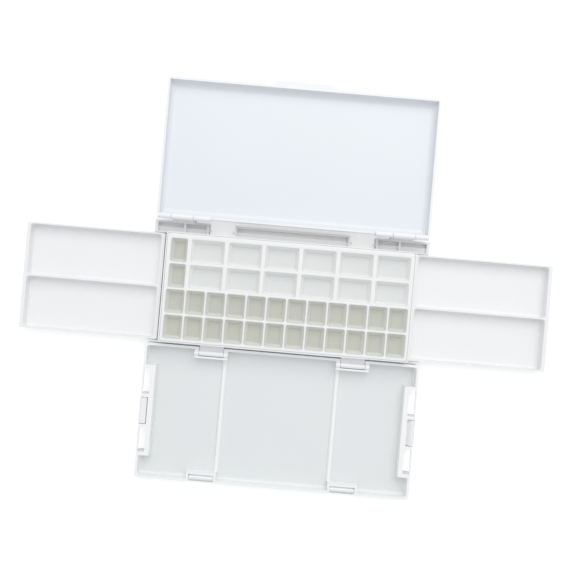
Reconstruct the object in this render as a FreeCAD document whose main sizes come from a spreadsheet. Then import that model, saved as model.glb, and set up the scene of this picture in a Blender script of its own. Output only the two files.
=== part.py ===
"""A folding watercolour paint box.

A shallow case with two drawers carries a lift-out tray of 38 paint wells.  A lid is hinged along the
rear and a mixing palette along the front.  The palette folds over the tray, the lid folds over the
palette, two catches lock the palette to the case and two side clasps hold the drawers shut.

Frame: X to the right, Y towards the lid, Z up, millimetres.  The origin is the middle of the case's
underside.  The box is modelled open: lid and palette level, both drawers pulled out.
"""
import FreeCAD
import Part

import math
import os
import re

import Sketcher

SIZES = {
    # Clearances
    "running_gap": 0.3,
    "pin_gap": 0.05,
    "seat_gap": 0.15,
    "cut_margin": 1.0,
    # Case
    "case_length": 227.8,
    "case_depth": 100.2,
    "plate_thickness": 1.6,
    "deck_height": 12.7,
    "rail_height": 6.0,
    # Ring that seats the well tray
    "block_inset": 11.2,
    "block_height": 20.0,
    "block_corner": 2.5,
    "block_wall": 0.9,
    "block_end_wall": 1.0,
    "ledge_width": 1.5,
    "ledge_thickness": 0.8,
    # Channel behind the ring
    "channel_depth": 9.5,
    "strip_thickness": 1.7,
    "channel_end_wall": 2.5,
    "channel_rib_inset": 24.8,
    "channel_rib": 1.8,
    "trough_width": 3.3,
    "trough_depth": 5.5,
    "shelf_depth": 3.0,
    "notch_play": 0.8,
    "notch_wall": 1.6,
    # Well tray
    "wells_end_rim": 2.85,
    "wells_front_rim": 2.4,
    "wells_rear_rim": 4.2,
    "well_depth": 5.5,
    "well_draft": 27.0,
    "narrow_divider": 1.6,
    "wide_divider": 3.3,
    "row_divider": 1.8,
    # Drawers
    "drawer_overhang": 1.2,
    "drawer_held": 9.2,
    "right_drawer_setback": 2.2,
    "drawer_height": 10.5,
    "drawer_floor": 2.0,
    "drawer_wall": 1.4,
    "drawer_divider": 1.2,
    "drawer_outer_end": 3.0,
    "drawer_inner_end": 3.2,
    "drawer_corner": 1.6,
    "drawer_inner_corner": 2.4,
    "drawer_cove": 2.0,
    "bump_inset": 3.4,
    "bump_length": 2.0,
    "bump_width": 8.0,
    "bump_height": 0.9,
    "latch_groove_depth": 1.4,
    "latch_groove_play": 1.6,
    # Hinges
    "hinge_radius": 2.2,
    "pin_radius": 1.0,
    "lid_axis_out": 2.5,
    "lid_axis_height": 24.7,
    "tower_thickness": 1.8,
    "tower_foot": 4.0,
    "tower_shoulder": 0.6,
    "tower_inset": 14.9,
    "tower_width": 17.8,
    "inner_lug_width": 14.1,
    "outer_lug_width": 10.7,
    "palette_axis_out": 7.0,
    "palette_axis_height": 13.3,
    "hinge_inset": 55.3,
    "hinge_width": 20.0,
    "arm_thickness": 3.5,
    "arm_drop": 0.6,
    # Lid
    "lid_inset": 2.7,
    "lid_near": 0.3,
    "lid_overhang": 10.4,
    "lid_height": 9.0,
    "lid_wall": 2.0,
    "lid_floor": 1.6,
    "lid_corner": 3.0,
    "lid_edge": 2.6,
    "lid_cove": 5.0,
    "tab_width": 53.0,
    "tab_tip_width": 46.5,
    "tab_length": 3.7,
    "tab_thickness": 2.0,
    # Palette
    "palette_near": 5.1,
    "palette_rear_inset": 0.4,
    "palette_height": 11.4,
    "rim_over_axis": 0.3,
    "palette_floor": 1.4,
    "palette_wall": 2.2,
    "palette_near_wall": 2.0,
    "palette_corner": 2.5,
    "palette_inner_corner": 2.0,
    "palette_edge": 1.2,
    "palette_cove": 1.8,
    "cheek_thickness": 3.4,
    "boss_wall": 1.3,
    "recess_play": 0.4,
    "surround_wall": 1.6,
    "window_drop": 4.7,
    "stop_gap": 0.2,
    "stop_low": 3.0,
    "stop_high": 9.0,
    "palette_rib_height": 2.7,
    "palette_rib_crest": 2.2,
    "palette_rib_foot": 5.0,
    "palette_rib_gap": 1.4,
    # Palette side plateaus
    "plateau_width": 10.6,
    "plateau_front": 38.2,
    "plateau_rear": 37.0,
    "plateau_skin": 1.6,
    "slot_inset": 1.4,
    "slot_width": 5.4,
    "slot_end_wall": 3.0,
    "clasp_boss": 2.8,
    # Catches and clasps
    "latch_drop": 1.7,
    "latch_length": 8.0,
    "barb_height": 1.4,
    "barb_lead": 0.6,
    "catch_inset": 3.7,
    "catch_knuckle": 1.9,
    "catch_thickness": 1.6,
    "catch_barb": 1.2,
    "catch_cheek": 2.0,
    "nub_width": 2.0,
    "nub_depth": 1.6,
    "nub_height": 1.8,
    "clasp_width": 21.2,
    "clasp_offset": 1.05,
    "clasp_axis_inset": 1.5,
    "clasp_knuckle": 1.7,
    "clasp_pin_radius": 0.8,
    "clasp_pin_seat": 2.2,
    "clasp_thickness": 1.2,
    "clasp_barb": 1.1,
    "clasp_corner_play": 0.6,
    "clasp_side_play": 0.6,
    # How far the loose latches are swung out as drawn, in degrees
    "catch_swing": 25.0,
    "right_clasp_swing": 40.0,
}

# Places that several pieces share, in terms of the sizes above
HALF = "(case_length / 2)"
FRONT = "(-case_depth / 2)"
REAR = "(case_depth / 2)"
BLOCK_HALF = "(case_length / 2 - block_inset)"
BLOCK_REAR = "(case_depth / 2 - channel_depth)"
ROOM_FRONT = f"({FRONT} + block_wall)"
ROOM_REAR = f"({BLOCK_REAR} - block_wall)"
SEAT_HALF = f"({BLOCK_HALF} - block_end_wall)"
TRAY_LOW = "(deck_height + ledge_thickness)"
DRAWER_Y = f"(({ROOM_FRONT} + {ROOM_REAR}) / 2)"
DRAWER_LOW = "(plate_thickness + running_gap)"
DRAWER_SHUT = f"({HALF} + drawer_overhang)"
DRAWER_LENGTH = f"({DRAWER_SHUT} - running_gap)"
DRAWER_WIDTH = f"({ROOM_REAR} - {ROOM_FRONT} - 2 * running_gap)"
LID_Y = f"({REAR} + lid_axis_out)"
PALETTE_Y = f"({FRONT} - palette_axis_out)"
TOWER_OUTER = f"({HALF} - tower_inset)"
TOWER_INNER = f"({TOWER_OUTER} - tower_width)"
LUG_OUTER = f"({TOWER_OUTER} + running_gap + outer_lug_width)"
LUG_INNER = f"({TOWER_INNER} - running_gap - inner_lug_width)"
HINGE_PLACE = f"({HALF} - hinge_inset)"
HINGE_INNER = f"({HINGE_PLACE} - hinge_width / 2)"
HINGE_OUTER = f"({HINGE_PLACE} + hinge_width / 2)"
LID_REACH = "(case_depth + lid_axis_out + lid_overhang)"
PALETTE_REACH = "(case_depth + palette_axis_out - palette_rear_inset)"
CATCH_Y = f"({PALETTE_REACH} - catch_inset)"
LATCH_FOLDED_Z = "(palette_axis_height + latch_drop)"
BARB_TOP = f"({LATCH_FOLDED_Z} - latch_length + barb_height)"
PALETTE_RIM = "rim_over_axis"
PALETTE_BOTTOM = "(rim_over_axis - palette_height)"
PALETTE_FLOOR = f"({PALETTE_BOTTOM} + palette_floor)"
NOTCH_INNER = f"({HINGE_INNER} - notch_play)"
NOTCH_OUTER = f"({HINGE_OUTER} + notch_play)"
PIN_BORE = "(pin_radius + pin_gap)"
CLASP_BORE = "(clasp_pin_radius + pin_gap)"
CLASP_SIDE = f"({HALF} - clasp_axis_inset)"
CLASP_PLACE = f"({DRAWER_Y} - {PALETTE_Y} - clasp_offset)"
CLASP_BACK = "(clasp_axis_inset + drawer_overhang + running_gap)"
CLASP_FACE = f"({CLASP_BACK} + clasp_thickness)"

X_AXIS = FreeCAD.Vector(1, 0, 0)
Y_AXIS = FreeCAD.Vector(0, 1, 0)
Z_AXIS = FreeCAD.Vector(0, 0, 1)
SIDES = {"left": -1, "right": 1}
ROW_COUNT = 4
WIDE_ROW_COUNT = 2
NARROW_COUNT = 12
WIDE_COUNT = 6
LEVEL_TOLERANCE = 1e-4

doc = FreeCAD.newDocument("WatercolourBox")
sheet = doc.addObject("Spreadsheet::Sheet", "Sizes")
for row, (name, number) in enumerate(SIZES.items(), start=1):
    sheet.set(f"A{row}", name)
    sheet.set(f"B{row}", str(number))
    sheet.setAlias(f"B{row}", name)
doc.recompute()

subparts = []


def tied(text):
    """Turn the bare size names in an expression into references to the sheet."""
    return re.sub(r"[a-z][a-z_]+", lambda match: f"Sizes.{match.group(0)}", text)


def value(text):
    """Work out an expression of sheet sizes as a number."""
    return float(sheet.evalExpression(tied(text)))


def tie(feature, path, text):
    """Bind one property of a feature to an expression of sheet sizes."""
    feature.setExpression(path, tied(text))


def new_body(label, x="0", y="0", z="0", rotation=None):
    """Start a sub-part as a PartDesign body whose own origin is placed at x, y, z."""
    body = doc.addObject("PartDesign::Body", label)
    body.Label = label
    place(body, x, y, z, rotation)
    return body


def place(piece, x, y, z, rotation=None):
    """Give a sub-part its placement and enter it in the list of sub-parts."""
    piece.Placement = FreeCAD.Placement(FreeCAD.Vector(), rotation or FreeCAD.Rotation())
    for axis, text in zip("xyz", (x, y, z)):
        tie(piece, f"Placement.Base.{axis}", text)
    subparts.append(piece)


def sketch_on(body, name, plane, offset):
    """Add an empty sketch to a body, on one of its own origin planes moved by offset."""
    sketch = body.newObject("Sketcher::SketchObject", name)
    support = next(item for item in body.Origin.OriginFeatures if item.Role == plane)
    sketch.AttachmentSupport = [(support, "")]
    sketch.MapMode = "FlatFace"
    tie(sketch, "AttachmentOffset.Base.z", offset)
    return sketch


def pin_point(sketch, geometry, point, across, up):
    """Fix one point of a sketch at a place given by two expressions."""
    for kind, axis, text in (("DistanceX", -2, across), ("DistanceY", -1, up)):
        if text == "0":
            sketch.addConstraint(Sketcher.Constraint("PointOnObject", geometry, point, axis))
            continue
        index = sketch.addConstraint(
            Sketcher.Constraint(kind, -1, 1, geometry, point, value(text)))
        sketch.setExpression(f"Constraints[{index}]", tied(text))


def outline(sketch, points):
    """Draw a closed outline of straight lines through points given as pairs of expressions."""
    first = sketch.GeometryCount
    vectors = [FreeCAD.Vector(value(across), value(up), 0) for across, up in points]
    for start, end in zip(vectors, vectors[1:] + vectors[:1]):
        sketch.addGeometry(Part.LineSegment(start, end), False)
    for number, (across, up) in enumerate(points):
        following = first + (number + 1) % len(points)
        sketch.addConstraint(
            Sketcher.Constraint("Coincident", first + number, 2, following, 1))
        pin_point(sketch, first + number, 1, across, up)


def rectangle(sketch, across, up):
    """Draw a rectangle between two pairs of expressions."""
    outline(sketch, [(across[0], up[0]), (across[1], up[0]), (across[1], up[1]), (across[0], up[1])])


def rounded_rectangle(sketch, across, up, radius):
    """Draw a rectangle with four equal round corners between two pairs of expressions."""
    first = sketch.GeometryCount
    left, right = value(across[0]), value(across[1])
    low, high = value(up[0]), value(up[1])
    size = value(radius)
    quarter = math.pi / 2
    sides = [((left + size, low), (right - size, low)), ((right, low + size), (right, high - size)),
             ((right - size, high), (left + size, high)), ((left, high - size), (left, low + size))]
    centres = [(right - size, low + size), (right - size, high - size),
               (left + size, high - size), (left + size, low + size)]
    for number, ((start, end), centre) in enumerate(zip(sides, centres)):
        sketch.addGeometry(Part.LineSegment(FreeCAD.Vector(*start, 0), FreeCAD.Vector(*end, 0)), False)
        circle = Part.Circle(FreeCAD.Vector(*centre, 0), Z_AXIS, size)
        sketch.addGeometry(
            Part.ArcOfCircle(circle, (number - 1) * quarter, number * quarter), False)
    for number in range(8):
        following = first + (number + 1) % 8
        sketch.addConstraint(Sketcher.Constraint("Tangent", first + number, 2, following, 1))
    for number, kind in enumerate(("Horizontal", "Vertical", "Horizontal", "Vertical")):
        sketch.addConstraint(Sketcher.Constraint(kind, first + 2 * number))
    for number in range(1, 4):
        sketch.addConstraint(Sketcher.Constraint("Equal", first + 1, first + 1 + 2 * number))
    dimensions = [("DistanceY", 0, up[0]), ("DistanceX", 2, across[1]),
                  ("DistanceY", 4, up[1]), ("DistanceX", 6, across[0])]
    for kind, number, text in dimensions:
        index = sketch.addConstraint(
            Sketcher.Constraint(kind, -1, 1, first + number, 1, value(text)))
        sketch.setExpression(f"Constraints[{index}]", tied(text))
    index = sketch.addConstraint(Sketcher.Constraint("Radius", first + 1, size))
    sketch.setExpression(f"Constraints[{index}]", tied(radius))


def disc(sketch, across, up, radius):
    """Draw a circle whose centre and radius are expressions."""
    number = sketch.GeometryCount
    centre = FreeCAD.Vector(value(across), value(up), 0)
    sketch.addGeometry(Part.Circle(centre, Z_AXIS, value(radius)), False)
    pin_point(sketch, number, 3, across, up)
    index = sketch.addConstraint(Sketcher.Constraint("Radius", number, value(radius)))
    sketch.setExpression(f"Constraints[{index}]", tied(radius))


def pad(body, sketch, length):
    """Add the sketch's outline to the body, along the sketch's normal."""
    feature = body.newObject("PartDesign::Pad", f"{sketch.Name}Pad")
    feature.Profile = sketch
    tie(feature, "Length", length)
    sketch.Visibility = False
    return feature


def pocket(body, sketch, depth, draft=None, along_normal=False):
    """Cut the sketch's outline out of the body, against the sketch's normal unless told otherwise."""
    doc.recompute()
    before = body.Shape.Volume
    feature = body.newObject("PartDesign::Pocket", f"{sketch.Name}Cut")
    feature.Profile = sketch
    feature.Reversed = along_normal
    tie(feature, "Length", depth)
    if draft:
        tie(feature, "TaperAngle", draft)
    doc.recompute()
    if body.Shape.Volume >= before:
        raise ValueError(f"{sketch.Name} cuts nothing from {body.Label}")
    return feature


def draw_boxes(sketch, boxes, corner):
    """Draw (x pair, y pair) rectangles, with round corners if a corner radius is given."""
    for across, up in boxes:
        if corner:
            rounded_rectangle(sketch, across, up, corner)
        else:
            rectangle(sketch, across, up)


def block(body, name, boxes, levels, corner=None):
    """Add upright blocks, given as (x pair, y pair) rectangles, between two levels."""
    sketch = sketch_on(body, name, "XY_Plane", levels[0])
    draw_boxes(sketch, boxes, corner)
    return pad(body, sketch, f"{levels[1]} - ({levels[0]})")


def hollow(body, name, boxes, levels, corner=None):
    """Cut upright rectangular spaces between two levels."""
    sketch = sketch_on(body, name, "XY_Plane", levels[1])
    draw_boxes(sketch, boxes, corner)
    return pocket(body, sketch, f"{levels[1]} - ({levels[0]})")


def both_sides(across, up):
    """A rectangle and its mirror image in the YZ plane."""
    mirrored = (f"-({across[0]})", f"-({across[1]})")
    return [(mirrored, up), (across, up)]


def on_side(side, place_text):
    """An X place on one side, from its distance to the middle."""
    return f"-({place_text})" if side == "left" else place_text


def side_span(side, near, far):
    """The lower and upper X of a span that lies from near to far on one side."""
    return (f"-({far})", f"-({near})") if side == "left" else (near, far)


def rod(body, name, span, centre, radius):
    """Add a round rod along X over a span, centred on a (y, z) pair."""
    sketch = sketch_on(body, name, "YZ_Plane", span[0])
    disc(sketch, centre[0], centre[1], radius)
    return pad(body, sketch, f"{span[1]} - ({span[0]})")


def bore(body, name, span, centre, radius):
    """Cut a round hole along X over a span, centred on a (y, z) pair."""
    sketch = sketch_on(body, name, "YZ_Plane", span[1])
    disc(sketch, centre[0], centre[1], radius)
    return pocket(body, sketch, f"{span[1]} - ({span[0]})")


def round_edges(body, name, radius, chosen):
    """Fillet the edges of the body that a test picks."""
    doc.recompute()
    base = body.Tip
    edges = [f"Edge{number}" for number, edge in enumerate(base.Shape.Edges, start=1) if chosen(edge)]
    fillet = body.newObject("PartDesign::Fillet", name)
    fillet.Base = (base, edges)
    tie(fillet, "Radius", radius)
    doc.recompute()
    return fillet


def level_at(height):
    """Test for edges that lie wholly at one height."""
    def chosen(edge):
        box = edge.BoundBox
        return max(abs(box.ZMin - height), abs(box.ZMax - height)) < LEVEL_TOLERANCE
    return chosen


def make_base():
    """Case floor, drawer tunnel, tray ring, rear channel with stepped pockets, and hinge towers."""
    body = new_body("base_frame")
    block(body, "Ring", [((f"-{BLOCK_HALF}", BLOCK_HALF), (FRONT, BLOCK_REAR))],
          ("deck_height", "block_height"), corner="block_corner")
    hollow(body, "TraySeat", [((f"-{SEAT_HALF}", SEAT_HALF), (ROOM_FRONT, ROOM_REAR))],
           (TRAY_LOW, "block_height"), corner="block_corner - block_end_wall")
    under_half = f"({SEAT_HALF} - ledge_width)"
    hollow(body, "UnderTray",
           [((f"-{under_half}", under_half),
             (f"{ROOM_FRONT} + ledge_width", f"{ROOM_REAR} - ledge_width"))],
           ("deck_height", TRAY_LOW))
    block(body, "Channel", [((f"-{HALF}", HALF), (ROOM_REAR, REAR))], ("0", "deck_height"))
    block(body, "FrontWall", [((f"-{BLOCK_HALF}", BLOCK_HALF), (FRONT, ROOM_FRONT))],
          ("0", "deck_height"))
    block(body, "Plate", [((f"-{HALF}", HALF), (FRONT, REAR))], ("0", "plate_thickness"))
    block(body, "Rails", both_sides((BLOCK_HALF, HALF), (FRONT, ROOM_FRONT)), ("0", "rail_height"))

    rib_middle = f"({HALF} - channel_rib_inset)"
    strip_front = f"({REAR} - strip_thickness)"
    trough_floor = "(deck_height - trough_depth)"
    pocket_levels = {
        "ChannelPockets": (BLOCK_REAR, "deck_height - shelf_depth", "deck_height"),
        "ChannelTroughs": (f"{strip_front} - trough_width", trough_floor, "deck_height"),
        "ChannelUnderside": (BLOCK_REAR, "-cut_margin", f"{trough_floor} - plate_thickness"),
    }
    for name, (front, low, high) in pocket_levels.items():
        depth_span = (front, strip_front)
        pockets = [((f"-({NOTCH_INNER} - notch_wall)", f"{NOTCH_INNER} - notch_wall"), depth_span)]
        pockets += both_sides((f"{NOTCH_OUTER} + notch_wall", f"{rib_middle} - channel_rib / 2"),
                              depth_span)
        pockets += both_sides((f"{rib_middle} + channel_rib / 2", f"{HALF} - channel_end_wall"),
                              depth_span)
        hollow(body, name, pockets, (low, high))
    hollow(body, "CatchNotches",
           both_sides((NOTCH_INNER, NOTCH_OUTER), (BLOCK_REAR, f"{REAR} + cut_margin")),
           ("-cut_margin", "deck_height"))

    nub_rear = f"({PALETTE_Y} + {CATCH_Y} - catch_thickness / 2 - running_gap)"
    nub_span = (f"{nub_rear} - nub_depth", nub_rear)
    nubs = both_sides((NOTCH_INNER, f"{NOTCH_INNER} + nub_width"), nub_span)
    nubs += both_sides((f"{NOTCH_OUTER} - nub_width", NOTCH_OUTER), nub_span)
    nub_low = f"({BARB_TOP} + running_gap)"
    block(body, "KeeperNubs", nubs, (nub_low, f"{nub_low} + nub_height"))

    block(body, "Towers",
          both_sides((TOWER_INNER, TOWER_OUTER), (REAR, f"{REAR} + tower_thickness")),
          ("tower_foot", "lid_axis_height - tower_shoulder"))
    for side in SIDES:
        rod(body, f"TowerKnuckle_{side}", side_span(side, TOWER_INNER, TOWER_OUTER),
            (LID_Y, "lid_axis_height"), "hinge_radius")
    bore(body, "TowerBore", (f"-{HALF}", HALF), (LID_Y, "lid_axis_height"), PIN_BORE)

    stop_front = f"{FRONT} - (palette_axis_out - palette_near - stop_gap)"
    stop_inner = f"{HINGE_OUTER} + running_gap + cheek_thickness"
    block(body, "PaletteStops", both_sides((stop_inner, BLOCK_HALF), (stop_front, FRONT)),
          ("stop_low", "stop_high"))
    block(body, "DrawerStops",
          both_sides((f"{HALF} - bump_inset", f"{HALF} - bump_inset + bump_length"),
                     (f"{DRAWER_Y} - bump_width / 2", f"{DRAWER_Y} + bump_width / 2")),
          ("plate_thickness", "plate_thickness + bump_height"))


def make_tray():
    """Lift-out tray: two rows of one narrow and six wide wells, two rows of twelve narrow wells."""
    body = new_body("well_tray")
    half = f"({SEAT_HALF} - seat_gap)"
    front = f"({ROOM_FRONT} + seat_gap)"
    rear = f"({ROOM_REAR} - seat_gap)"
    block(body, "Slab", [((f"-{half}", half), (front, rear))], (TRAY_LOW, "block_height"),
          corner="block_corner - block_end_wall")
    wells_rear = f"({BLOCK_REAR} - wells_rear_rim)"
    wells_front = f"({FRONT} + wells_front_rim)"
    row_pitch = f"(({wells_rear} - {wells_front}) / {ROW_COUNT})"
    wells_left = f"(wells_end_rim - {BLOCK_HALF})"
    wells_length = f"(-2 * {wells_left})"
    narrow_pitch = f"({wells_length} / {NARROW_COUNT})"
    wide_pitch = f"(({wells_length} - {narrow_pitch}) / {WIDE_COUNT})"
    for line in range(ROW_COUNT):
        row_top = f"({wells_rear} - {line} * {row_pitch} - row_divider / 2)"
        row_low = f"({wells_rear} - {line + 1} * {row_pitch} + row_divider / 2)"
        if line < WIDE_ROW_COUNT:
            wells = [("Narrow", wells_left, narrow_pitch, 1, "wide_divider"),
                     ("Wide", f"({wells_left} + {narrow_pitch})", wide_pitch, WIDE_COUNT,
                      "wide_divider")]
        else:
            wells = [("Narrow", wells_left, narrow_pitch, NARROW_COUNT, "narrow_divider")]
        for kind, start, pitch, count, divider in wells:
            sketch = sketch_on(body, f"{kind}Wells{line}", "XY_Plane", "block_height")
            rectangle(sketch, (f"{start} + {divider} / 2", f"{start} + {pitch} - {divider} / 2"),
                      (row_low, row_top))
            cut = pocket(body, sketch, "well_depth", draft="-well_draft")
            if count > 1:
                pattern = body.newObject("PartDesign::LinearPattern", f"{kind}Row{line}")
                pattern.Originals = [cut]
                pattern.Direction = (sketch, ["H_Axis"])
                body.Tip = pattern
                tie(pattern, "Length", f"{pitch} * {count - 1}")
                pattern.Occurrences = count
                doc.recompute()


def make_drawer(side):
    """Drawer with two long compartments, drawn about its own middle with its outer end at -X."""
    turned = FreeCAD.Rotation(Z_AXIS, 180 if side == "right" else 0)
    held = "drawer_held" if side == "left" else "(drawer_held + right_drawer_setback)"
    middle = on_side(side, f"{HALF} - {held} + {DRAWER_LENGTH} / 2")
    body = new_body(f"drawer_{side}", middle, DRAWER_Y, DRAWER_LOW, turned)
    half_long = f"({DRAWER_LENGTH} / 2)"
    half_wide = f"({DRAWER_WIDTH} / 2)"
    block(body, "Shell", [((f"-{half_long}", half_long), (f"-{half_wide}", half_wide))],
          ("0", "drawer_height"), corner="drawer_corner")
    inside = (f"-{half_long} + drawer_outer_end", f"{half_long} - drawer_inner_end")
    hollow(body, "Compartments",
           [(inside, ("drawer_divider / 2", f"{half_wide} - drawer_wall")),
            (inside, (f"-{half_wide} + drawer_wall", "-drawer_divider / 2"))],
           ("drawer_floor", "drawer_height"), corner="drawer_inner_corner")
    round_edges(body, "FloorCoves", "drawer_cove", level_at(value("drawer_floor")))

    barb_low = f"({LATCH_FOLDED_Z} - latch_length - {DRAWER_LOW})"
    groove_half = "(clasp_width / 2 + latch_groove_play)"
    hollow(body, "LatchGroove",
           [((f"-{half_long} - cut_margin", f"-{half_long} + latch_groove_depth"),
             (f"-{groove_half}", groove_half))],
           (f"{barb_low} - running_gap", f"{barb_low} + barb_height + running_gap"))

    stop_half = "(bump_width / 2 + running_gap)"
    stop_inner = f"({half_long} - drawer_held + bump_inset + running_gap)"
    stop_outer = f"({DRAWER_SHUT} - {half_long} - {HALF} + bump_inset - bump_length - running_gap)"
    hollow(body, "StopGroove", [((stop_outer, stop_inner), (f"-{stop_half}", stop_half))],
           ("-cut_margin", "bump_height + running_gap"))


def make_hinge_block(side):
    """Knuckle on an arm, fixed to the case's front wall, drawn about the palette's hinge axis."""
    x = on_side(side, HINGE_PLACE)
    body = new_body(f"hinge_block_{side}", x, PALETTE_Y, "palette_axis_height")
    across = ("-hinge_width / 2", "hinge_width / 2")
    rod(body, "Knuckle", across, ("0", "0"), "hinge_radius")
    block(body, "Arm", [(across, ("-pin_radius", "palette_axis_out"))],
          ("-arm_drop - arm_thickness", "-arm_drop"))
    bore(body, "PinBore", across, ("0", "0"), PIN_BORE)


def make_lid():
    """Shallow dished lid with rounded outer edges, hinge lugs and a thumb tab, about its hinge axis."""
    body = new_body("lid", "0", LID_Y, "lid_axis_height")
    half = f"({HALF} - lid_inset)"
    block(body, "Shell", [((f"-{half}", half), ("-lid_near", LID_REACH))], ("-lid_height", "0"),
          corner="lid_corner")
    round_edges(body, "OuterEdge", "lid_edge", level_at(value("-lid_height")))
    inner = f"({half} - lid_wall)"
    hollow(body, "Dish",
           [((f"-{inner}", inner), ("lid_wall - lid_near", f"{LID_REACH} - lid_wall"))],
           ("lid_floor - lid_height", "0"))
    round_edges(body, "DishCove", "lid_cove", level_at(value("lid_floor - lid_height")))
    for side in SIDES:
        bore(body, f"TowerRelief_{side}",
             side_span(side, f"{TOWER_INNER} - running_gap", f"{TOWER_OUTER} + running_gap"),
             ("0", "0"), "hinge_radius + running_gap")
    for side in SIDES:
        lugs = {"Inner": (LUG_INNER, f"{TOWER_INNER} - running_gap"),
                "Outer": (f"{TOWER_OUTER} + running_gap", LUG_OUTER)}
        for name, (near, far) in lugs.items():
            rod(body, f"{name}Lug_{side}", side_span(side, near, far), ("0", "0"), "hinge_radius")
    for side in SIDES:
        bore(body, f"PinBore_{side}", side_span(side, LUG_INNER, LUG_OUTER), ("0", "0"), PIN_BORE)
    tab = sketch_on(body, "Tab", "XY_Plane", "-tab_thickness")
    tab_root = f"{LID_REACH} - lid_wall"
    tab_tip = f"{LID_REACH} + tab_length"
    outline(tab, [("-tab_width / 2", tab_root), ("tab_width / 2", tab_root),
                  ("tab_width / 2", LID_REACH), ("tab_tip_width / 2", tab_tip),
                  ("-tab_tip_width / 2", tab_tip), ("-tab_width / 2", LID_REACH)])
    pad(body, tab, "tab_thickness")


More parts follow.
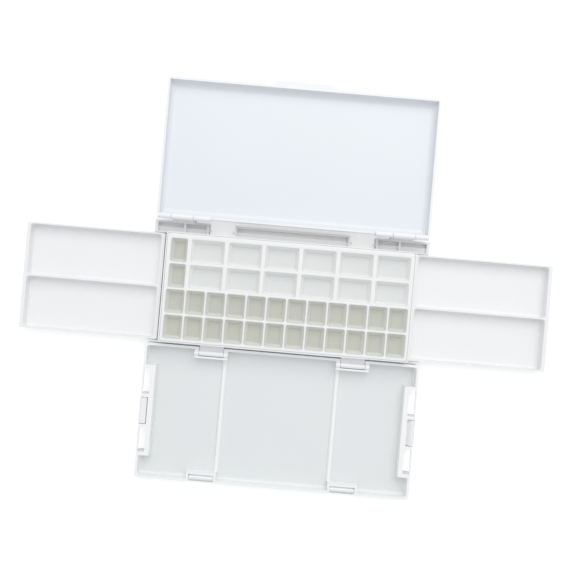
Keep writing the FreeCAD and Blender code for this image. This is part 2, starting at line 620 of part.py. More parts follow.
def make_palette():
    """Mixing palette: a dish with two low ribs, side plateaus and latch recesses, about its hinge axis."""
    body = new_body("palette", "0", PALETTE_Y, "palette_axis_height")
    block(body, "Shell", [((f"-{HALF}", HALF), (f"-{PALETTE_REACH}", "palette_near"))],
          (PALETTE_BOTTOM, PALETTE_RIM), corner="palette_corner")
    round_edges(body, "LowerEdge", "palette_edge", level_at(value(PALETTE_BOTTOM)))
    inner = f"({HALF} - palette_wall)"
    hollow(body, "Dish",
           [((f"-{inner}", inner),
             (f"-{PALETTE_REACH} + palette_wall", "palette_near - palette_near_wall"))],
           (PALETTE_FLOOR, PALETTE_RIM), corner="palette_inner_corner")
    round_edges(body, "DishCove", "palette_cove", level_at(value(PALETTE_FLOOR)))

    recess_inner = f"({HINGE_INNER} - running_gap)"
    recess_outer = f"({HINGE_OUTER} + running_gap)"
    recess_back = "(hinge_radius + recess_play)"
    surround_back = f"({recess_back} + surround_wall)"
    catch_back = f"({CATCH_Y} - catch_knuckle - cut_margin)"
    catch_surround = f"({catch_back} - surround_wall)"

    for side, sign in SIDES.items():
        ridge = sketch_on(body, f"Rib_{side}", "XZ_Plane", surround_back)
        middle = f"({sign} * ({HINGE_INNER} - palette_rib_gap))"
        outline(ridge, [(f"{middle} - palette_rib_foot / 2", PALETTE_FLOOR),
                        (f"{middle} + palette_rib_foot / 2", PALETTE_FLOOR),
                        (f"{middle} + palette_rib_crest / 2", f"{PALETTE_FLOOR} + palette_rib_height"),
                        (f"{middle} - palette_rib_crest / 2", f"{PALETTE_FLOOR} + palette_rib_height")])
        pad(body, ridge, f"{catch_surround} - {surround_back}")

    cheeks = (f"{recess_inner} - cheek_thickness", f"{recess_outer} + cheek_thickness")
    block(body, "HingeSurround", both_sides(cheeks, (f"-{surround_back}", "palette_near")),
          (PALETTE_BOTTOM, PALETTE_RIM))
    for side in SIDES:
        rod(body, f"CheekBoss_{side}", side_span(side, *cheeks), ("0", "0"), "pin_radius + boss_wall")
    boss_top = "(hinge_radius + cut_margin)"
    hollow(body, "HingeRecess",
           both_sides((recess_inner, recess_outer),
                      (f"-{recess_back}", "palette_near - palette_near_wall")),
           (PALETTE_FLOOR, boss_top))
    hollow(body, "HingeWindow",
           both_sides((recess_inner, recess_outer),
                      ("palette_near - palette_near_wall", "palette_near + cut_margin")),
           ("-window_drop", boss_top))
    for side in SIDES:
        bore(body, f"HingeBore_{side}", side_span(side, *cheeks), ("0", "0"), PIN_BORE)

    catch_span = (f"{recess_inner} - catch_cheek", f"{recess_outer} + catch_cheek")
    block(body, "CatchSurround", both_sides(catch_span, (f"-{PALETTE_REACH}", f"-{catch_surround}")),
          (PALETTE_BOTTOM, PALETTE_RIM))
    hollow(body, "CatchRecess",
           both_sides((recess_inner, recess_outer), (f"-{PALETTE_REACH} - cut_margin", f"-{catch_back}")),
           (f"{PALETTE_BOTTOM} - cut_margin", PALETTE_RIM))
    for side in SIDES:
        bore(body, f"CatchBore_{side}", side_span(side, *catch_span),
             (f"-{CATCH_Y}", "-latch_drop"), PIN_BORE)

    plateau_inner = f"({HALF} - plateau_width)"
    plateau_front = f"({CLASP_PLACE} - plateau_front)"
    plateau_rear = f"({CLASP_PLACE} + plateau_rear)"
    block(body, "Plateaus", both_sides((plateau_inner, f"{HALF} - palette_wall / 2"),
                                       (f"-{plateau_rear}", f"-{plateau_front}")),
          (PALETTE_BOTTOM, PALETTE_RIM))
    clasp_half = "(clasp_width / 2 + clasp_side_play)"
    slots = [(f"-{CLASP_PLACE} + {clasp_half} + clasp_boss", f"-{plateau_front} - slot_end_wall"),
             (f"-{plateau_rear} + slot_end_wall", f"-{CLASP_PLACE} - {clasp_half} - clasp_boss")]
    slot_outer = f"({HALF} - slot_inset)"
    under = []
    openings = []
    for span in slots:
        under += both_sides((f"{plateau_inner} + plateau_skin", f"{HALF} + cut_margin"), span)
        openings += both_sides((f"{slot_outer} - slot_width", slot_outer), span)
    hollow(body, "PlateauUnderside", under,
           (f"{PALETTE_BOTTOM} - cut_margin", f"{PALETTE_RIM} - plateau_skin"))
    hollow(body, "PlateauSlots", openings, (f"{PALETTE_RIM} - plateau_skin", PALETTE_RIM))
    swing = f"({CLASP_FACE} + clasp_corner_play)"
    hollow(body, "ClaspNotches",
           both_sides((f"{CLASP_SIDE} - {swing}", f"{HALF} + cut_margin"),
                      (f"-{CLASP_PLACE} - {clasp_half}", f"-{CLASP_PLACE} + {clasp_half}")),
           (f"{PALETTE_BOTTOM} - cut_margin", PALETTE_RIM))
    pins = sketch_on(body, "ClaspBores", "XZ_Plane", f"{CLASP_PLACE} - {clasp_half} - clasp_pin_seat")
    for sign in SIDES.values():
        disc(pins, f"{sign} * {CLASP_SIDE}", "-latch_drop", CLASP_BORE)
    pocket(body, pins, f"2 * ({clasp_half} + clasp_pin_seat)", along_normal=True)


def make_catch(side):
    """Barbed flap that locks the folded palette to the case, drawn hanging from its pin."""
    x = on_side(side, HINGE_PLACE)
    body = new_body(f"rear_catch_{side}", x, f"{PALETTE_Y} - {CATCH_Y}",
                    "palette_axis_height - latch_drop",
                    FreeCAD.Rotation(-X_AXIS, value("catch_swing")))
    across = ("-hinge_width / 2", "hinge_width / 2")
    rod(body, "Knuckle", across, ("0", "0"), "catch_knuckle")
    face = "(catch_thickness / 2)"
    profile = sketch_on(body, "Flap", "YZ_Plane", across[0])
    outline(profile, [(face, "0"), (face, "-latch_length"), (f"-{face}", "-latch_length"),
                      (f"-{face} - catch_barb", "-latch_length + barb_lead"),
                      (f"-{face} - catch_barb", "-latch_length + barb_height"),
                      (f"-{face}", "-latch_length + barb_height"), (f"-{face}", "0")])
    pad(body, profile, "hinge_width")
    bore(body, "PinBore", across, ("0", "0"), PIN_BORE)


def make_clasp(side):
    """Bent barbed lever that swings over a shut drawer's end, drawn stowed with the flap at +X."""
    swing = 0 if side == "left" else value("right_clasp_swing")
    turned = FreeCAD.Rotation(Z_AXIS, 0 if side == "left" else 180)
    x = on_side(side, CLASP_SIDE)
    body = new_body(f"side_clasp_{side}", x, f"{PALETTE_Y} - {CLASP_PLACE}",
                    "palette_axis_height - latch_drop",
                    turned.multiply(FreeCAD.Rotation(Y_AXIS, swing)))
    knuckle = sketch_on(body, "Knuckle", "XZ_Plane", "-clasp_width / 2")
    disc(knuckle, "0", "0", "clasp_knuckle")
    pad(body, knuckle, "clasp_width")
    profile = sketch_on(body, "Lever", "XZ_Plane", "-clasp_width / 2")
    under = "(clasp_knuckle - clasp_thickness)"
    outline(profile, [("0", "clasp_knuckle"), (CLASP_FACE, "clasp_knuckle"),
                      (CLASP_FACE, "-latch_length"), (CLASP_BACK, "-latch_length"),
                      (f"{CLASP_BACK} - clasp_barb", "-latch_length + barb_lead"),
                      (f"{CLASP_BACK} - clasp_barb", "-latch_length + barb_height"),
                      (CLASP_BACK, "-latch_length + barb_height"),
                      (CLASP_BACK, under), ("0", under)])
    pad(body, profile, "clasp_width")
    hole = sketch_on(body, "PinBore", "XZ_Plane", "-clasp_width / 2")
    disc(hole, "0", "0", CLASP_BORE)
    pocket(body, hole, "clasp_width", along_normal=True)


def make_pin(label, start, radius, length, along):
    """Plain round pin that starts at a point and runs along X or Y."""
    pin = doc.addObject("Part::Cylinder", label)
    pin.Label = label
    tie(pin, "Radius", radius)
    tie(pin, "Height", length)
    place(pin, *start, FreeCAD.Rotation(Z_AXIS, along))


def make_pins():
    """The pins of the lid hinge, the palette hinge, the catches and the clasps."""
    latch_height = "palette_axis_height - latch_drop"
    for side in SIDES:
        lid_start = side_span(side, LUG_INNER, LUG_OUTER)[0]
        make_pin(f"lid_hinge_pin_{side}", (lid_start, LID_Y, "lid_axis_height"),
                 "pin_radius", f"{LUG_OUTER} - {LUG_INNER}", X_AXIS)
        hinge_reach = "(hinge_width + 2 * running_gap + 2 * cheek_thickness)"
        hinge_start = f"{on_side(side, HINGE_PLACE)} - {hinge_reach} / 2"
        make_pin(f"palette_hinge_pin_{side}", (hinge_start, PALETTE_Y, "palette_axis_height"),
                 "pin_radius", hinge_reach, X_AXIS)
        catch_reach = "(hinge_width + 2 * running_gap + 2 * catch_cheek)"
        catch_start = f"{on_side(side, HINGE_PLACE)} - {catch_reach} / 2"
        make_pin(f"rear_catch_pin_{side}", (catch_start, f"{PALETTE_Y} - {CATCH_Y}", latch_height),
                 "pin_radius", catch_reach, X_AXIS)
        clasp_reach = "(clasp_width + 2 * clasp_side_play + 2 * clasp_pin_seat)"
        make_pin(f"side_clasp_pin_{side}",
                 (on_side(side, CLASP_SIDE),
                  f"{PALETTE_Y} - {CLASP_PLACE} - {clasp_reach} / 2", latch_height),
                 "clasp_pin_radius", clasp_reach, Y_AXIS)


def check_model():
    """Stop if any feature failed or any sub-part's shape is missing or not valid."""
    for item in doc.Objects:
        if "Invalid" in item.State or "Error" in item.State:
            raise ValueError(f"{item.Name} is {item.State}")
    for piece in subparts:
        shape = piece.Shape
        if shape.isNull() or not shape.isValid() or len(shape.Solids) != 1:
            raise ValueError(f"{piece.Label} isn't one valid solid")


def export_parts():
    """Write each sub-part to its own STEP file."""
    os.makedirs("parts", exist_ok=True)
    for piece in subparts:
        piece.Shape.exportStep(f"parts/{piece.Label}.step")
        print(piece.Label, round(piece.Shape.Volume), "mm3")


make_base()
make_tray()
make_lid()
make_palette()
for drawn_side in SIDES:
    make_drawer(drawn_side)
    make_hinge_block(drawn_side)
    make_catch(drawn_side)
    make_clasp(drawn_side)
make_pins()
doc.recompute()
check_model()
export_parts()
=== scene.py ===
"""Dresses a folding watercolour paint box: an open case with a well tray, drawers, lid and palette.

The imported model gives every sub-part its place.  This script gives each moulded piece its plastic and
softened edges, replaces the well tray with one whose wells have rounded corners and floors, and sets up the
floor, the light and the camera.  Lengths are metres.
"""

import logging
import math
from dataclasses import dataclass, field
from enum import Enum
from typing import Optional

import bmesh
import bpy
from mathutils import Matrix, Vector


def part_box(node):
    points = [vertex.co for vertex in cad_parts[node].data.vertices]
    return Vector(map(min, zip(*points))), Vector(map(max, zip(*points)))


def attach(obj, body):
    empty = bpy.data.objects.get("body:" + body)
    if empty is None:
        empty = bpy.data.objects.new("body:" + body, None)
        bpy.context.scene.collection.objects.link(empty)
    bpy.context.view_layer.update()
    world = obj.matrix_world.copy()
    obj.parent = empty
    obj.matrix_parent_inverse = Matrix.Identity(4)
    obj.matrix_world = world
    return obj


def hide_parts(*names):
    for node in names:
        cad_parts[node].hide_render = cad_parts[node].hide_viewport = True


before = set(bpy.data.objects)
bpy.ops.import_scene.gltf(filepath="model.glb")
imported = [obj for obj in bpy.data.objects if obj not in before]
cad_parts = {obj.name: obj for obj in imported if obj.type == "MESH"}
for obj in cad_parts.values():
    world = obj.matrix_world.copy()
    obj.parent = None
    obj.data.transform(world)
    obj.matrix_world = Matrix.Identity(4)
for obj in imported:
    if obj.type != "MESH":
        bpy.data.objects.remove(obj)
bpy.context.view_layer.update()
MM = 0.001
log = logging.getLogger("paint_box")


class Surface(Enum):
    """How finely a mould's steel was finished, as (grain size, grain height, roughness)."""

    SATIN = (0.35 * MM, 0.004 * MM, 0.34)
    POLISHED = (0.9 * MM, 0.002 * MM, 0.22)
    FROSTED = (0.25 * MM, 0.008 * MM, 0.5)


@dataclass(frozen=True)
class PaintedShade:
    """Painted shade: a darker tone given to the plastic below some height, standing in for the shade in its
    hollows and low parts.

    Attributes:
        colour: Linear red, green and blue at the bottom.
        low: Z at and below which the tone is full.
        high: Z at and above which there is none of it.
    """

    colour: tuple[float, float, float]
    low: float
    high: float


@dataclass(frozen=True)
class MouldedPlastic:
    """White plastic as it comes out of a mould.

    Attributes:
        name: Name of the material.
        colour: Main colour, linear red, green and blue.
        drift: How much darker the darkest streaks of the flow pattern are, as a share.
        surface: The mould's finish.
        depth: Painted shade lower down, if there is any.
        streak: Size of the flow pattern.
        gloss_drift: How far the roughness swings each way with the flow pattern.
        grain_share: How strongly the mould's grain shows in the bump.
        flow_detail: Octaves of the flow pattern.
        grain_detail: Octaves of the grain.
        ior: Index of refraction.
    """

    name: str
    colour: tuple[float, float, float]
    drift: float = 0.03
    surface: Surface = Surface.SATIN
    depth: Optional[PaintedShade] = None
    streak: float = 45 * MM
    gloss_drift: float = 0.05
    grain_share: float = 0.6
    flow_detail: float = 2.0
    grain_detail: float = 3.0
    ior: float = 1.49

    def tone(self, tree: bpy.types.NodeTree, place: bpy.types.Node) -> bpy.types.NodeSocket:
        """Add the nodes that mix in the painted shade by height.

        Args:
            tree: The material's node tree.
            place: Its texture coordinate node.

        Returns:
            The socket that gives the colour.
        """
        nodes, links = tree.nodes, tree.links
        split = nodes.new("ShaderNodeSeparateXYZ")
        links.new(place.outputs["Object"], split.inputs["Vector"])
        height = nodes.new("ShaderNodeMapRange")
        height.interpolation_type = "SMOOTHSTEP"
        height.inputs["From Min"].default_value = self.depth.low
        height.inputs["From Max"].default_value = self.depth.high
        links.new(split.outputs["Z"], height.inputs["Value"])
        mix = nodes.new("ShaderNodeMix")
        mix.data_type = "RGBA"
        mix.inputs["A"].default_value = (*self.depth.colour, 1)
        mix.inputs["B"].default_value = (*self.colour, 1)
        links.new(height.outputs["Result"], mix.inputs["Factor"])
        return mix.outputs["Result"]

    def build(self) -> bpy.types.Material:
        """Make the material.

        Returns:
            The finished material.
        """
        size, height, roughness = self.surface.value
        material = bpy.data.materials.new(self.name)
        material.use_nodes = True
        nodes, links = material.node_tree.nodes, material.node_tree.links
        shader = nodes["Principled BSDF"]
        shader.inputs["IOR"].default_value = self.ior
        place = nodes.new("ShaderNodeTexCoord")

        flow = nodes.new("ShaderNodeTexNoise")
        flow.inputs["Scale"].default_value = 1 / self.streak
        flow.inputs["Detail"].default_value = self.flow_detail
        links.new(place.outputs["Object"], flow.inputs["Vector"])
        shade = nodes.new("ShaderNodeMapRange")
        shade.inputs["To Min"].default_value = 1.0 - self.drift
        shade.inputs["To Max"].default_value = 1.0
        links.new(flow.outputs["Fac"], shade.inputs["Value"])
        scaled = nodes.new("ShaderNodeVectorMath")
        scaled.operation = "SCALE"
        scaled.inputs[0].default_value = self.colour
        # Painted shade: the colour turns darker below the given height.
        if self.depth:
            links.new(self.tone(material.node_tree, place), scaled.inputs[0])
        links.new(shade.outputs["Result"], scaled.inputs["Scale"])
        links.new(scaled.outputs["Vector"], shader.inputs["Base Color"])

        gloss = nodes.new("ShaderNodeMapRange")
        gloss.inputs["To Min"].default_value = roughness - self.gloss_drift
        gloss.inputs["To Max"].default_value = roughness + self.gloss_drift
        links.new(flow.outputs["Fac"], gloss.inputs["Value"])
        links.new(gloss.outputs["Result"], shader.inputs["Roughness"])

        grain = nodes.new("ShaderNodeTexNoise")
        grain.inputs["Scale"].default_value = 1 / size
        grain.inputs["Detail"].default_value = self.grain_detail
        links.new(place.outputs["Object"], grain.inputs["Vector"])
        bump = nodes.new("ShaderNodeBump")
        bump.inputs["Distance"].default_value = height
        bump.inputs["Strength"].default_value = self.grain_share
        links.new(grain.outputs["Fac"], bump.inputs["Height"])
        links.new(bump.outputs["Normal"], shader.inputs["Normal"])
        return material


@dataclass(frozen=True)
class DrawnSteel:
    """Bright wire with a fine, even grain.

    Attributes:
        name: Name of the material.
        colour: Linear red, green and blue.
        roughness: Mean roughness.
        gloss_drift: How far the roughness swings each way with the grain.
        grain_size: Size of the grain.
    """

    name: str = "drawn_steel"
    colour: tuple[float, float, float] = (0.56, 0.56, 0.58)
    roughness: float = 0.3
    gloss_drift: float = 0.08
    grain_size: float = 0.2 * MM

    def build(self) -> bpy.types.Material:
        """Make the material.

        Returns:
            The finished material.
        """
        material = bpy.data.materials.new(self.name)
        material.use_nodes = True
        nodes, links = material.node_tree.nodes, material.node_tree.links
        shader = nodes["Principled BSDF"]
        shader.inputs["Base Color"].default_value = (*self.colour, 1)
        shader.inputs["Metallic"].default_value = 1.0
        place = nodes.new("ShaderNodeTexCoord")
        grain = nodes.new("ShaderNodeTexNoise")
        grain.inputs["Scale"].default_value = 1 / self.grain_size
        links.new(place.outputs["Object"], grain.inputs["Vector"])
        gloss = nodes.new("ShaderNodeMapRange")
        gloss.inputs["To Min"].default_value = self.roughness - self.gloss_drift
        gloss.inputs["To Max"].default_value = self.roughness + self.gloss_drift
        links.new(grain.outputs["Fac"], gloss.inputs["Value"])
        links.new(gloss.outputs["Result"], shader.inputs["Roughness"])
        return material


@dataclass(frozen=True)
class Rectangle:
    """A rectangle seen from above.

    Attributes:
        left: Lowest X.
        right: Highest X.
        near: Lowest Y.
        far: Highest Y.
    """

    left: float
    right: float
    near: float
    far: float

    def grown(self, margin: float) -> "Rectangle":
        """This rectangle with every side moved out by margin."""
        return Rectangle(self.left - margin, self.right + margin, self.near - margin, self.far + margin)

    def ring(self, radius: float, height: float, steps: int = 5) -> list[Vector]:
        """Points round the rectangle with rounded corners.

        Args:
            radius: Corner radius.
            height: Z of every point.
            steps: Spans in each corner's arc.

        Returns:
            The points, counterclockwise from above.
        """
        centres = [(self.right - radius, self.near + radius, -90), (self.right - radius, self.far - radius, 0),
                   (self.left + radius, self.far - radius, 90), (self.left + radius, self.near + radius, 180)]
        points = []
        for x, y, start in centres:
            for step in range(steps + 1):
                angle = math.radians(start + 90 * step / steps)
                points.append(Vector((x + radius * math.cos(angle), y + radius * math.sin(angle), height)))
        return points


class MeshMaker:
    """Builds one mesh out of rings of points."""

    def __init__(self) -> None:
        """Start an empty mesh."""
        self.mesh = bmesh.new()

    def ring(self, points: list[Vector]) -> list[bmesh.types.BMVert]:
        """Add one ring of vertices."""
        return [self.mesh.verts.new(point) for point in points]

    def bridge(self, low: list[bmesh.types.BMVert], high: list[bmesh.types.BMVert]) -> None:
        """Join two rings of the same length with quads."""
        for index, vertex in enumerate(low):
            following = (index + 1) % len(low)
            self.mesh.faces.new((vertex, low[following], high[following], high[index]))

    def stack(self, rings: list[list[Vector]]) -> list[list[bmesh.types.BMVert]]:
        """Add rings and join each to the next.

        Args:
            rings: Rings of points, all of one length.

        Returns:
            The rings of vertices.
        """
        made = [self.ring(points) for points in rings]
        for low, high in zip(made, made[1:]):
            self.bridge(low, high)
        return made

    def piece(self, name: str, smooth_below: float = 40.0) -> bpy.types.Object:
        """Finish the mesh as an object.

        Args:
            name: Name of the piece.
            smooth_below: Edges with a smaller angle between their faces, in degrees, are shaded smooth.

        Returns:
            The new object, linked to the scene.
        """
        bmesh.ops.recalc_face_normals(self.mesh, faces=self.mesh.faces)
        for face in self.mesh.faces:
            face.smooth = True
        for edge in self.mesh.edges:
            angle = edge.calc_face_angle(0.0)
            edge.smooth = angle < math.radians(smooth_below)
        data = bpy.data.meshes.new(name)
        self.mesh.to_mesh(data)
        self.mesh.free()
        made = bpy.data.objects.new(name, data)
        bpy.context.scene.collection.objects.link(made)
        return made


class TraySlot(Enum):
    """Which of the tray's materials a face takes."""

    BODY = 0
    WIDE_WELL = 1
    NARROW_WELL = 2


@dataclass
class WellTray:
    """The lift-out tray of paint wells, with rounded wells and a softened rim.

    Attributes:
        front_rim: From the case's front face to the nearest wells.
        rear_rim: From the ring's rear face to the furthest wells.
        ring_wall: From the tray's edge out to the faces that the rims are measured from.
        wells_length: Length of the field of wells.
        rows: Rows of wells.
        wide_rows: How many of the rows, from the rear, have wide wells.
        narrow_count: Narrow wells in a full narrow row.
        wide_count: Wide wells in a wide row.
        narrow_divider: Divider between narrow wells, at the top.
        wide_divider: Divider between wide wells, at the top.
        row_divider: Divider between rows, at the top.
        depth: Depth of the wells.
        draft: Slope of the wells' walls, in degrees.
        lip: Radius of the rounded rim of each well.
        cove: Radius at the foot of the walls.
        corner: Corner radius of a well at the top.
        foot_corner: Smallest corner radius of a well, at its foot.
        corner_taper: How many times faster a wall closes in than its corner radius shrinks.
        cove_lean: Share of the wall's slope that carries on round the cove.
        lip_steps: Spans round each rounded rim.
        cove_steps: Spans round each cove.
        outer_corner: Corner radius of the tray's outline.
        field_low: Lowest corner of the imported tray.
        field_high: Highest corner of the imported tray.
    """

    front_rim: float = 2.4 * MM
    rear_rim: float = 4.2 * MM
    ring_wall: float = 1.05 * MM
    wells_length: float = 199.7 * MM
    rows: int = 4
    wide_rows: int = 2
    narrow_count: int = 12
    wide_count: int = 6
    narrow_divider: float = 1.6 * MM
    wide_divider: float = 3.3 * MM
    row_divider: float = 1.8 * MM
    depth: float = 5.4 * MM
    draft: float = 27.0
    lip: float = 0.3 * MM
    cove: float = 0.7 * MM
    corner: float = 1.5 * MM
    foot_corner: float = 0.6 * MM
    corner_taper: float = 3.0
    cove_lean: float = 0.5
    lip_steps: int = 3
    cove_steps: int = 5
    outer_corner: float = 1.5 * MM
    field_low: Vector = field(default_factory=lambda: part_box("well_tray")[0])
    field_high: Vector = field(default_factory=lambda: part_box("well_tray")[1])

    def wells(self) -> list[Rectangle]:
        """The top opening of every well.

        Returns:
            One rectangle for each well.
        """
        rear = self.field_high.y + self.ring_wall - self.rear_rim
        front = self.field_low.y - self.ring_wall + self.front_rim
        pitch = (rear - front) / self.rows
        narrow = self.wells_length / self.narrow_count
        wide = (self.wells_length - narrow) / self.wide_count
        found = []
        for row in range(self.rows):
            far = rear - row * pitch - self.row_divider / 2
            near = rear - (row + 1) * pitch + self.row_divider / 2
            is_wide = row < self.wide_rows
            divider = self.wide_divider if is_wide else self.narrow_divider
            widths = [narrow] + [wide] * self.wide_count if is_wide else [narrow] * self.narrow_count
            left = -self.wells_length / 2
            for width in widths:
                found.append(Rectangle(left + divider / 2, left + width - divider / 2, near, far))
                left += width
        return found

    def well_rings(self, well: Rectangle, top: float) -> list[list[Vector]]:
        """The rings that shape one well, from its rim down to its floor.

        Args:
            well: The well's opening at the top.
            top: Z of the tray's top.

        Returns:
            Rings of points.
        """
        slope = math.tan(math.radians(self.draft))
        rings = []
        for step in range(self.lip_steps + 1):
            turn = math.radians(90 * step / self.lip_steps)
            grow = self.lip * (1 - math.sin(turn))
            drop = self.lip * (1 - math.cos(turn))
            rings.append(well.grown(grow).ring(self.corner + grow, top - drop))
        straight = self.depth - self.cove
        inset = (straight - self.lip) * slope
        radius = max(self.corner - inset / self.corner_taper, self.foot_corner)
        rings.append(well.grown(-inset).ring(radius, top - straight))
        for step in range(1, self.cove_steps + 1):
            turn = math.radians(90 * step / self.cove_steps)
            lean = self.cove * slope * math.sin(turn) * self.cove_lean
            across = inset + self.cove * (1 - math.cos(turn)) + lean
            down = straight + self.cove * math.sin(turn)
            radius = max(self.corner - across / self.corner_taper, self.foot_corner)
            rings.append(well.grown(-across).ring(radius, top - down))
        return rings

    def build(self, plastic: bpy.types.Material, wide: bpy.types.Material,
              narrow: bpy.types.Material) -> bpy.types.Object:
        """Make the tray and put it in the node's place.

        Args:
            plastic: Material of the rim, the dividers and the sides.
            wide: Material inside the wide wells, with painted shade on their floors.
            narrow: Material inside the narrow wells, with painted shade all over and more on their floors.

        Returns:
            The tray.
        """
        maker = MeshMaker()
        low, high = self.field_low, self.field_high
        outline = Rectangle(low.x, high.x, low.y, high.y)
        walls = [outline.ring(self.outer_corner, low.z)]
        for step in range(self.lip_steps + 1):
            turn = math.radians(90 * step / self.lip_steps)
            inset = self.lip * (1 - math.cos(turn))
            rise = self.lip * (1 - math.sin(turn))
            walls.append(outline.grown(-inset).ring(self.outer_corner - inset, high.z - rise))
        sides = maker.stack(walls)
        maker.mesh.faces.new(reversed(sides[0]))
        rims = [sides[-1]]
        for well in self.wells():
            before = len(maker.mesh.faces)
            made = maker.stack(self.well_rings(well, high.z))
            rims.append(made[0])
            maker.mesh.faces.new(made[-1])
            maker.mesh.faces.ensure_lookup_table()
            is_narrow = well.right - well.left < self.wells_length / self.narrow_count
            slot = TraySlot.NARROW_WELL if is_narrow else TraySlot.WIDE_WELL
            for face in maker.mesh.faces[before:]:
                face.material_index = slot.value
        edges = []
        for rim in rims:
            for index, vertex in enumerate(rim):
                following = rim[(index + 1) % len(rim)]
                edges.append(maker.mesh.edges.get((vertex, following)))
        bmesh.ops.triangle_fill(maker.mesh, use_beauty=True, use_dissolve=False, edges=edges)
        tray = maker.piece("moulded_well_tray")
        for material in (plastic, wide, narrow):
            tray.data.materials.append(material)
        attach(tray, "tray")
        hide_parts("well_tray")
        return tray


@dataclass
class Mouldings:
    """The moulded sub-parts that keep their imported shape.

    Attributes:
        latches: Names of the small moving and fixed fittings.
        pins: Names of the steel pins.
        shell_edge: Width of the softened edges of the large shells.
        latch_edge: The same for the fittings.
        pin_edge: The same for the pins.
        edge_angle: Edges sharper than this are softened, in degrees.
        edge_segments: Spans round a softened edge.
    """

    latches: tuple[str, ...] = ("hinge_block_left", "hinge_block_right", "rear_catch_left",
                                "rear_catch_right", "side_clasp_left", "side_clasp_right")
    pins: tuple[str, ...] = ("lid_hinge_pin_left", "lid_hinge_pin_right", "palette_hinge_pin_left",
                             "palette_hinge_pin_right", "rear_catch_pin_left", "rear_catch_pin_right",
                             "side_clasp_pin_left", "side_clasp_pin_right")
    shell_edge: float = 0.3 * MM
    latch_edge: float = 0.15 * MM
    pin_edge: float = 0.1 * MM
    edge_angle: float = 35.0
    edge_segments: int = 2

    def dress(self, node: str, material: bpy.types.Material, edge: float) -> None:
        """Give one packed sub-part a material and softened edges.

        Args:
            node: Name of the sub-part.
            material: Its material.
            edge: Width of the softened edges.
        """
        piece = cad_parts[node]
        piece.data.materials.clear()
        piece.data.materials.append(material)
        for face in piece.data.polygons:
            face.use_smooth = True
        soft = piece.modifiers.new("softened_edges", "BEVEL")
        soft.width = edge
        soft.segments = self.edge_segments
        soft.limit_method = "ANGLE"
        soft.angle_limit = math.radians(self.edge_angle)
        soft.harden_normals = True
        log.info("%s: %s", node, material.name)


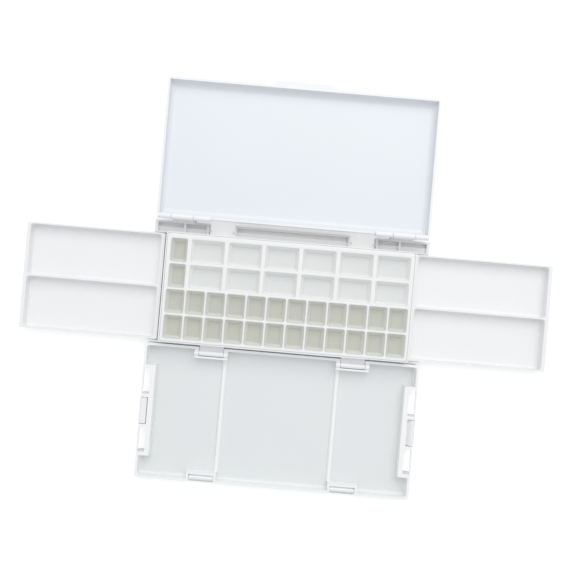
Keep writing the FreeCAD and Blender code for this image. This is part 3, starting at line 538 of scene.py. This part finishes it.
@dataclass
class Studio:
    """Floor, lights and camera.

    Attributes:
        across: Width of the view at the tray's top.
        tray_top: Z of the tray's top.
        distance: From the camera down to the tray's top.
        aim: Where the camera looks straight down, as (x, y).
        roll: Turn of the camera, in degrees, counterclockwise from above.
        sensor: Width of the camera's sensor, in millimetres.
        near_clip: Nearest thing that the camera sees.
        far_clip: Furthest thing that it sees.
        floor_size: Side of the square floor.
        floor_drop: From the box's underside down to the floor.
        floor_grey: How much light the floor gives back.
        floor_glow: What the background rays see on top of that.
        sky_colour: Linear red, green and blue of the even light.
        sky_strength: Its strength.
        lamp_spot: Where the soft lamp hangs.
        lamp_side: Side of the square lamp.
        lamp_power: Its power in watts.
    """

    across: float = 468 * MM
    tray_top: float = 20 * MM
    distance: float = 570 * MM
    aim: tuple[float, float] = (-1.4 * MM, 3.7 * MM)
    roll: float = 4.9
    sensor: float = 36.0
    near_clip: float = 0.01
    far_clip: float = 20.0
    floor_size: float = 6.0
    floor_drop: float = 0.02 * MM
    floor_grey: float = 0.6
    floor_glow: float = 0.58
    sky_colour: tuple[float, float, float] = (0.95, 0.97, 1.0)
    sky_strength: float = 0.74
    lamp_spot: tuple[float, float, float] = (0.25, 1.15, 1.7)
    lamp_side: float = 1.7
    lamp_power: float = 18.0

    def place_camera(self) -> None:
        """Put the camera above the box, looking straight down."""
        data = bpy.data.cameras.new("camera")
        data.sensor_width = self.sensor
        data.lens = data.sensor_width * self.distance / self.across
        data.clip_start = self.near_clip
        data.clip_end = self.far_clip
        camera = bpy.data.objects.new("camera", data)
        camera.location = (*self.aim, self.tray_top + self.distance)
        camera.rotation_euler = (0.0, 0.0, math.radians(self.roll))
        bpy.context.scene.collection.objects.link(camera)
        bpy.context.scene.camera = camera

    def lay_floor(self) -> None:
        """Lay a pale floor that looks white to the camera and still takes a shadow."""
        maker = MeshMaker()
        half = self.floor_size / 2
        corners = [(-half, -half), (half, -half), (half, half), (-half, half)]
        maker.mesh.faces.new([maker.mesh.verts.new((x, y, -self.floor_drop)) for x, y in corners])
        floor = maker.piece("floor")
        material = bpy.data.materials.new("pale_floor")
        material.use_nodes = True
        nodes, links = material.node_tree.nodes, material.node_tree.links
        nodes.clear()
        out = nodes.new("ShaderNodeOutputMaterial")
        matt = nodes.new("ShaderNodeBsdfDiffuse")
        matt.inputs["Color"].default_value = (*[self.floor_grey] * 3, 1)
        glow = nodes.new("ShaderNodeEmission")
        glow.inputs["Color"].default_value = (1, 1, 1, 1)
        strength = nodes.new("ShaderNodeMath")
        strength.operation = "MULTIPLY"
        strength.inputs[1].default_value = self.floor_glow
        links.new(self.background_rays(nodes, links), strength.inputs[0])
        links.new(strength.outputs["Value"], glow.inputs["Strength"])
        both = nodes.new("ShaderNodeAddShader")
        links.new(matt.outputs["BSDF"], both.inputs[0])
        links.new(glow.outputs["Emission"], both.inputs[1])
        links.new(both.outputs["Shader"], out.inputs["Surface"])
        floor.data.materials.append(material)

    @staticmethod
    def background_rays(nodes: bpy.types.Nodes, links: bpy.types.NodeLinks) -> bpy.types.NodeSocket:
        """Add nodes that pick out the rays that see the white background.

        Args:
            nodes: Nodes of the tree that gets them.
            links: Links of that tree.

        Returns:
            A socket that is 1 for camera, glossy and transmission rays, and 0 for the rest.
        """
        path = nodes.new("ShaderNodeLightPath")
        seen = path.outputs["Is Camera Ray"]
        for kind in ("Is Glossy Ray", "Is Transmission Ray"):
            either = nodes.new("ShaderNodeMath")
            either.operation = "MAXIMUM"
            links.new(seen, either.inputs[0])
            links.new(path.outputs[kind], either.inputs[1])
            seen = either.outputs["Value"]
        return seen

    def set_sky(self) -> None:
        """Surround the box with even light, white where the camera sees it."""
        world = bpy.data.worlds.new("studio")
        bpy.context.scene.world = world
        world.use_nodes = True
        nodes, links = world.node_tree.nodes, world.node_tree.links
        nodes.clear()
        out = nodes.new("ShaderNodeOutputWorld")
        even = nodes.new("ShaderNodeBackground")
        even.inputs["Color"].default_value = (*self.sky_colour, 1)
        even.inputs["Strength"].default_value = self.sky_strength
        white = nodes.new("ShaderNodeBackground")
        white.inputs["Color"].default_value = (1, 1, 1, 1)
        white.inputs["Strength"].default_value = 1.0
        mix = nodes.new("ShaderNodeMixShader")
        links.new(self.background_rays(nodes, links), mix.inputs["Fac"])
        links.new(even.outputs["Background"], mix.inputs[1])
        links.new(white.outputs["Background"], mix.inputs[2])
        links.new(mix.outputs["Shader"], out.inputs["Surface"])

    def hang_lamp(self, name: str, spot: tuple[float, float, float], side: float, power: float) -> None:
        """Hang a square soft lamp that faces the tray.

        Args:
            name: Name of the lamp.
            spot: Where it hangs.
            side: Side of the square.
            power: Watts.
        """
        data = bpy.data.lights.new(name, "AREA")
        data.shape = "SQUARE"
        data.size = side
        data.energy = power
        lamp = bpy.data.objects.new(name, data)
        lamp.location = spot
        lamp.rotation_mode = "QUATERNION"
        lamp.rotation_quaternion = (Vector((0, 0, 0)) - Vector(spot)).to_track_quat("-Z", "Y")
        bpy.context.scene.collection.objects.link(lamp)

    def build(self) -> None:
        """Set up the whole studio."""
        self.lay_floor()
        self.set_sky()
        self.hang_lamp("window", self.lamp_spot, self.lamp_side, self.lamp_power)
        self.place_camera()
        bpy.context.scene.view_settings.view_transform = "Standard"


def main() -> None:
    """Build every piece and report it."""
    logging.basicConfig(level=logging.INFO, format="%(name)s: %(message)s")
    white = (0.89, 0.89, 0.89)
    case_plastic = MouldedPlastic("case_plastic", white).build()
    # Painted shade: the lid's inside is darker and bluer below its rim, so the rim reads lighter than the
    # floor and walls.
    lid_plastic = MouldedPlastic("lid_plastic", (0.88, 0.88, 0.885),
                                 depth=PaintedShade((0.8, 0.83, 0.855), 22.5 * MM, 24.4 * MM)).build()
    # Painted shade: the palette's floors are darker than its rims and ribs.
    palette_plastic = MouldedPlastic("palette_plastic", (0.92, 0.92, 0.915), surface=Surface.FROSTED,
                                     depth=PaintedShade((0.785, 0.805, 0.8), 3.7 * MM, 4.5 * MM)).build()
    fitting_plastic = MouldedPlastic("fitting_plastic", (0.88, 0.88, 0.885),
                                     surface=Surface.POLISHED).build()
    steel = DrawnSteel().build()
    mouldings = Mouldings()
    shells = {"base_frame": case_plastic, "lid": lid_plastic, "palette": palette_plastic,
              "drawer_left": case_plastic, "drawer_right": case_plastic}
    for node, plastic in shells.items():
        mouldings.dress(node, plastic, mouldings.shell_edge)
    for node in mouldings.latches:
        mouldings.dress(node, fitting_plastic, mouldings.latch_edge)
    for node in mouldings.pins:
        mouldings.dress(node, steel, mouldings.pin_edge)
    tray_colour = (0.88, 0.88, 0.865)
    # Painted shade: the wells' floors are darker and warmer than the tray's top, and the narrow wells are
    # darker and warmer all over, their floors most of all.
    well_foot, well_shoulder = 14.75 * MM, 15.3 * MM
    tray = WellTray().build(
        MouldedPlastic("tray_plastic", tray_colour).build(),
        MouldedPlastic("wide_well_plastic", tray_colour,
                       depth=PaintedShade((0.735, 0.745, 0.73), well_foot, well_shoulder)).build(),
        MouldedPlastic("narrow_well_plastic", (0.75, 0.75, 0.71),
                       depth=PaintedShade((0.56, 0.56, 0.49), well_foot, well_shoulder)).build())
    log.info("%s: %d faces", tray.name, len(tray.data.polygons))
    Studio().build()


if __name__ == "__main__":
    main()
